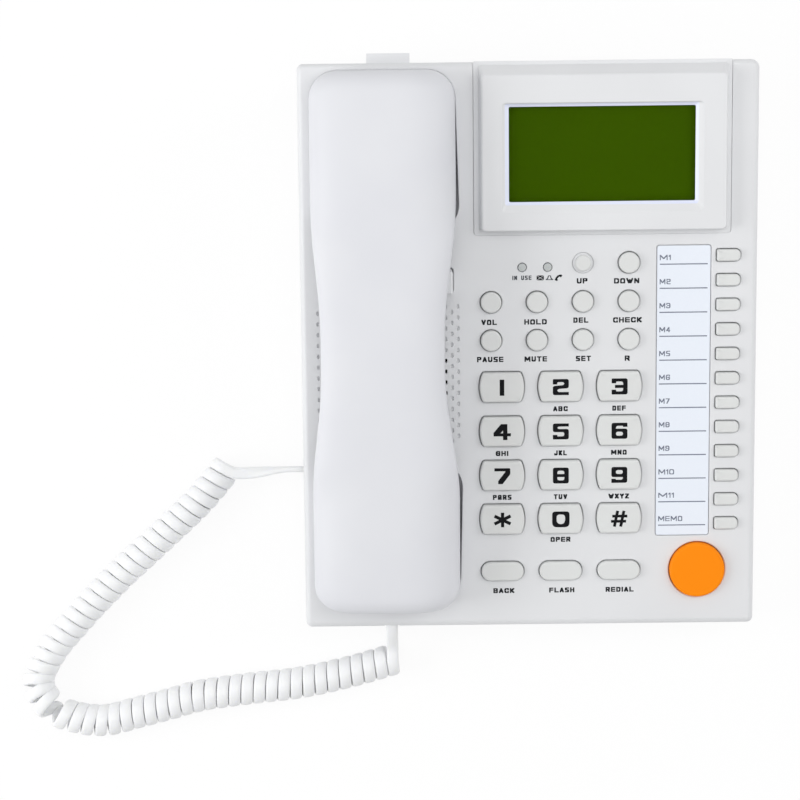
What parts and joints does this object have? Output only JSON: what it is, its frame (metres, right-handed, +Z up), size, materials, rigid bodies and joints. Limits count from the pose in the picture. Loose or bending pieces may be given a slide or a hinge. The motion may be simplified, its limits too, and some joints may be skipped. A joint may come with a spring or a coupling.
{
  "type": "corded desk telephone",
  "caption": "Wedge-shaped corded desk phone with a curly-corded handset, tilting display head, dial pad and memory keys.",
  "frame": {"origin": "on the table under the middle of the phone, its cord left out", "axes": "+X to the right, +Y to the rear along the handset, +Z up"},
  "size_m": [0.2959, 0.2748, 0.0783],
  "materials": {
    "shell_plastic": "fine satin moulded ABS",
    "handset_plastic": "smooth semi-gloss moulded ABS",
    "key_plastic": "satin moulded keycaps",
    "orange_key": "satin orange moulded key",
    "index_card": "paper card under clear film",
    "window_plastic": "clear moulded window",
    "lcd": "unlit green reflective display",
    "cord_jacket": "soft PVC jacket",
    "plug_plastic": "clear polycarbonate",
    "socket_plastic": "moulded socket body",
    "silicone": "silicone keypad mat",
    "circuit_board": "solder mask",
    "capsule_metal": "dark cone and steel can"
  },
  "bodies": {
    "base": {"base_top_shell": "shell_plastic", "base_bottom_shell": "shell_plastic", "main_board": "circuit_board", "keypad_mat": "silicone", "loudspeaker": "capsule_metal", "line_jack": "socket_plastic", "base_cord_jack": "socket_plastic", "memory_card": "index_card", "base_plug": "plug_plastic", "cord_coil": "cord_jacket", "cord_lead_base": "cord_jacket", "cord_lead_handset": "cord_jacket"},
    "display_head": {"display_bezel": "shell_plastic", "display_rear_cover": "shell_plastic", "display_lens": "window_plastic", "lcd_panel": "lcd"},
    "handset": {"handset_back_shell": "handset_plastic", "handset_face_shell": "handset_plastic", "handset_receiver": "capsule_metal", "handset_microphone": "capsule_metal", "handset_plug": "plug_plastic"},
    "hook_switch": {"hook_switch_plunger": "shell_plastic"},
    "key_digit_1": {"key_digit_1": "key_plastic"},
    "key_digit_2": {"key_digit_2": "key_plastic"},
    "key_digit_3": {"key_digit_3": "key_plastic"},
    "key_digit_4": {"key_digit_4": "key_plastic"},
    "key_digit_5": {"key_digit_5": "key_plastic"},
    "key_digit_6": {"key_digit_6": "key_plastic"},
    "key_digit_7": {"key_digit_7": "key_plastic"},
    "key_digit_8": {"key_digit_8": "key_plastic"},
    "key_digit_9": {"key_digit_9": "key_plastic"},
    "key_star": {"key_star": "key_plastic"},
    "key_digit_0": {"key_digit_0": "key_plastic"},
    "key_hash": {"key_hash": "key_plastic"},
    "key_back": {"key_back": "key_plastic"},
    "key_flash": {"key_flash": "key_plastic"},
    "key_redial": {"key_redial": "key_plastic"},
    "key_up": {"key_up": "key_plastic"},
    "key_down": {"key_down": "key_plastic"},
    "key_volume": {"key_volume": "key_plastic"},
    "key_hold": {"key_hold": "key_plastic"},
    "key_delete": {"key_delete": "key_plastic"},
    "key_check": {"key_check": "key_plastic"},
    "key_pause": {"key_pause": "key_plastic"},
    "key_mute": {"key_mute": "key_plastic"},
    "key_set": {"key_set": "key_plastic"},
    "key_recall": {"key_recall": "key_plastic"},
    "key_memory_01": {"key_memory_01": "key_plastic"},
    "key_memory_02": {"key_memory_02": "key_plastic"},
    "key_memory_03": {"key_memory_03": "key_plastic"},
    "key_memory_04": {"key_memory_04": "key_plastic"},
    "key_memory_05": {"key_memory_05": "key_plastic"},
    "key_memory_06": {"key_memory_06": "key_plastic"},
    "key_memory_07": {"key_memory_07": "key_plastic"},
    "key_memory_08": {"key_memory_08": "key_plastic"},
    "key_memory_09": {"key_memory_09": "key_plastic"},
    "key_memory_10": {"key_memory_10": "key_plastic"},
    "key_memory_11": {"key_memory_11": "key_plastic"},
    "key_memory_12": {"key_memory_12": "key_plastic"},
    "key_handsfree": {"key_handsfree": "orange_key"}
  },
  "joints": [
    {"name": "display_tilt", "type": "hinge", "parent": "base", "child": "display_head", "pos_m": [0.02885, 0.04328, 0.04511], "axis": [1, 0, 0], "range_deg": [0, 30]},
    {"name": "handset_lift", "type": "slide", "parent": "base", "child": "handset", "axis": [0, -0.1564, 0.9877], "range_m": [0, 0.06]},
    {"name": "hook_rise", "type": "slide", "parent": "base", "child": "hook_switch", "axis": [0, -0.1564, 0.9877], "range_m": [0, 0.004]},
    {"name": "press_digit_1", "type": "slide", "parent": "base", "child": "key_digit_1", "axis": [0, 0.1564, -0.9877], "range_m": [0, 0.0015], "stiffness_N_per_m": 250, "deforming": ["keypad_mat"]},
    {"name": "press_digit_2", "type": "slide", "parent": "base", "child": "key_digit_2", "axis": [0, 0.1564, -0.9877], "range_m": [0, 0.0015], "stiffness_N_per_m": 250, "deforming": ["keypad_mat"]},
    {"name": "press_digit_3", "type": "slide", "parent": "base", "child": "key_digit_3", "axis": [0, 0.1564, -0.9877], "range_m": [0, 0.0015], "stiffness_N_per_m": 250, "deforming": ["keypad_mat"]},
    {"name": "press_digit_4", "type": "slide", "parent": "base", "child": "key_digit_4", "axis": [0, 0.1564, -0.9877], "range_m": [0, 0.0015], "stiffness_N_per_m": 250, "deforming": ["keypad_mat"]},
    {"name": "press_digit_5", "type": "slide", "parent": "base", "child": "key_digit_5", "axis": [0, 0.1564, -0.9877], "range_m": [0, 0.0015], "stiffness_N_per_m": 250, "deforming": ["keypad_mat"]},
    {"name": "press_digit_6", "type": "slide", "parent": "base", "child": "key_digit_6", "axis": [0, 0.1564, -0.9877], "range_m": [0, 0.0015], "stiffness_N_per_m": 250, "deforming": ["keypad_mat"]},
    {"name": "press_digit_7", "type": "slide", "parent": "base", "child": "key_digit_7", "axis": [0, 0.1564, -0.9877], "range_m": [0, 0.0015], "stiffness_N_per_m": 250, "deforming": ["keypad_mat"]},
    {"name": "press_digit_8", "type": "slide", "parent": "base", "child": "key_digit_8", "axis": [0, 0.1564, -0.9877], "range_m": [0, 0.0015], "stiffness_N_per_m": 250, "deforming": ["keypad_mat"]},
    {"name": "press_digit_9", "type": "slide", "parent": "base", "child": "key_digit_9", "axis": [0, 0.1564, -0.9877], "range_m": [0, 0.0015], "stiffness_N_per_m": 250, "deforming": ["keypad_mat"]},
    {"name": "press_star", "type": "slide", "parent": "base", "child": "key_star", "axis": [0, 0.1564, -0.9877], "range_m": [0, 0.0015], "stiffness_N_per_m": 250, "deforming": ["keypad_mat"]},
    {"name": "press_digit_0", "type": "slide", "parent": "base", "child": "key_digit_0", "axis": [0, 0.1564, -0.9877], "range_m": [0, 0.0015], "stiffness_N_per_m": 250, "deforming": ["keypad_mat"]},
    {"name": "press_hash", "type": "slide", "parent": "base", "child": "key_hash", "axis": [0, 0.1564, -0.9877], "range_m": [0, 0.0015], "stiffness_N_per_m": 250, "deforming": ["keypad_mat"]},
    {"name": "press_back", "type": "slide", "parent": "base", "child": "key_back", "axis": [0, 0.1564, -0.9877], "range_m": [0, 0.0012], "stiffness_N_per_m": 250, "deforming": ["keypad_mat"]},
    {"name": "press_flash", "type": "slide", "parent": "base", "child": "key_flash", "axis": [0, 0.1564, -0.9877], "range_m": [0, 0.0012], "stiffness_N_per_m": 250, "deforming": ["keypad_mat"]},
    {"name": "press_redial", "type": "slide", "parent": "base", "child": "key_redial", "axis": [0, 0.1564, -0.9877], "range_m": [0, 0.0012], "stiffness_N_per_m": 250, "deforming": ["keypad_mat"]},
    {"name": "press_up", "type": "slide", "parent": "base", "child": "key_up", "axis": [0, 0.1564, -0.9877], "range_m": [0, 0.0012], "stiffness_N_per_m": 250, "deforming": ["keypad_mat"]},
    {"name": "press_down", "type": "slide", "parent": "base", "child": "key_down", "axis": [0, 0.1564, -0.9877], "range_m": [0, 0.0012], "stiffness_N_per_m": 250, "deforming": ["keypad_mat"]},
    {"name": "press_volume", "type": "slide", "parent": "base", "child": "key_volume", "axis": [0, 0.1564, -0.9877], "range_m": [0, 0.0012], "stiffness_N_per_m": 250, "deforming": ["keypad_mat"]},
    {"name": "press_hold", "type": "slide", "parent": "base", "child": "key_hold", "axis": [0, 0.1564, -0.9877], "range_m": [0, 0.0012], "stiffness_N_per_m": 250, "deforming": ["keypad_mat"]},
    {"name": "press_delete", "type": "slide", "parent": "base", "child": "key_delete", "axis": [0, 0.1564, -0.9877], "range_m": [0, 0.0012], "stiffness_N_per_m": 250, "deforming": ["keypad_mat"]},
    {"name": "press_check", "type": "slide", "parent": "base", "child": "key_check", "axis": [0, 0.1564, -0.9877], "range_m": [0, 0.0012], "stiffness_N_per_m": 250, "deforming": ["keypad_mat"]},
    {"name": "press_pause", "type": "slide", "parent": "base", "child": "key_pause", "axis": [0, 0.1564, -0.9877], "range_m": [0, 0.0012], "stiffness_N_per_m": 250, "deforming": ["keypad_mat"]},
    {"name": "press_mute", "type": "slide", "parent": "base", "child": "key_mute", "axis": [0, 0.1564, -0.9877], "range_m": [0, 0.0012], "stiffness_N_per_m": 250, "deforming": ["keypad_mat"]},
    {"name": "press_set", "type": "slide", "parent": "base", "child": "key_set", "axis": [0, 0.1564, -0.9877], "range_m": [0, 0.0012], "stiffness_N_per_m": 250, "deforming": ["keypad_mat"]},
    {"name": "press_recall", "type": "slide", "parent": "base", "child": "key_recall", "axis": [0, 0.1564, -0.9877], "range_m": [0, 0.0012], "stiffness_N_per_m": 250, "deforming": ["keypad_mat"]},
    {"name": "press_memory_01", "type": "slide", "parent": "base", "child": "key_memory_01", "axis": [0, 0.1564, -0.9877], "range_m": [0, 0.001], "stiffness_N_per_m": 250, "deforming": ["keypad_mat"]},
    {"name": "press_memory_02", "type": "slide", "parent": "base", "child": "key_memory_02", "axis": [0, 0.1564, -0.9877], "range_m": [0, 0.001], "stiffness_N_per_m": 250, "deforming": ["keypad_mat"]},
    {"name": "press_memory_03", "type": "slide", "parent": "base", "child": "key_memory_03", "axis": [0, 0.1564, -0.9877], "range_m": [0, 0.001], "stiffness_N_per_m": 250, "deforming": ["keypad_mat"]},
    {"name": "press_memory_04", "type": "slide", "parent": "base", "child": "key_memory_04", "axis": [0, 0.1564, -0.9877], "range_m": [0, 0.001], "stiffness_N_per_m": 250, "deforming": ["keypad_mat"]},
    {"name": "press_memory_05", "type": "slide", "parent": "base", "child": "key_memory_05", "axis": [0, 0.1564, -0.9877], "range_m": [0, 0.001], "stiffness_N_per_m": 250, "deforming": ["keypad_mat"]},
    {"name": "press_memory_06", "type": "slide", "parent": "base", "child": "key_memory_06", "axis": [0, 0.1564, -0.9877], "range_m": [0, 0.001], "stiffness_N_per_m": 250, "deforming": ["keypad_mat"]},
    {"name": "press_memory_07", "type": "slide", "parent": "base", "child": "key_memory_07", "axis": [0, 0.1564, -0.9877], "range_m": [0, 0.001], "stiffness_N_per_m": 250, "deforming": ["keypad_mat"]},
    {"name": "press_memory_08", "type": "slide", "parent": "base", "child": "key_memory_08", "axis": [0, 0.1564, -0.9877], "range_m": [0, 0.001], "stiffness_N_per_m": 250, "deforming": ["keypad_mat"]},
    {"name": "press_memory_09", "type": "slide", "parent": "base", "child": "key_memory_09", "axis": [0, 0.1564, -0.9877], "range_m": [0, 0.001], "stiffness_N_per_m": 250, "deforming": ["keypad_mat"]},
    {"name": "press_memory_10", "type": "slide", "parent": "base", "child": "key_memory_10", "axis": [0, 0.1564, -0.9877], "range_m": [0, 0.001], "stiffness_N_per_m": 250, "deforming": ["keypad_mat"]},
    {"name": "press_memory_11", "type": "slide", "parent": "base", "child": "key_memory_11", "axis": [0, 0.1564, -0.9877], "range_m": [0, 0.001], "stiffness_N_per_m": 250, "deforming": ["keypad_mat"]},
    {"name": "press_memory_12", "type": "slide", "parent": "base", "child": "key_memory_12", "axis": [0, 0.1564, -0.9877], "range_m": [0, 0.001], "stiffness_N_per_m": 250, "deforming": ["keypad_mat"]},
    {"name": "press_handsfree", "type": "slide", "parent": "base", "child": "key_handsfree", "axis": [0, 0.1564, -0.9877], "range_m": [0, 0.0016], "stiffness_N_per_m": 250, "deforming": ["keypad_mat"]}
  ],
  "couplings": [
    {"joint": "hook_rise", "follows": "handset_lift", "ratio": 0.066}
  ]
}
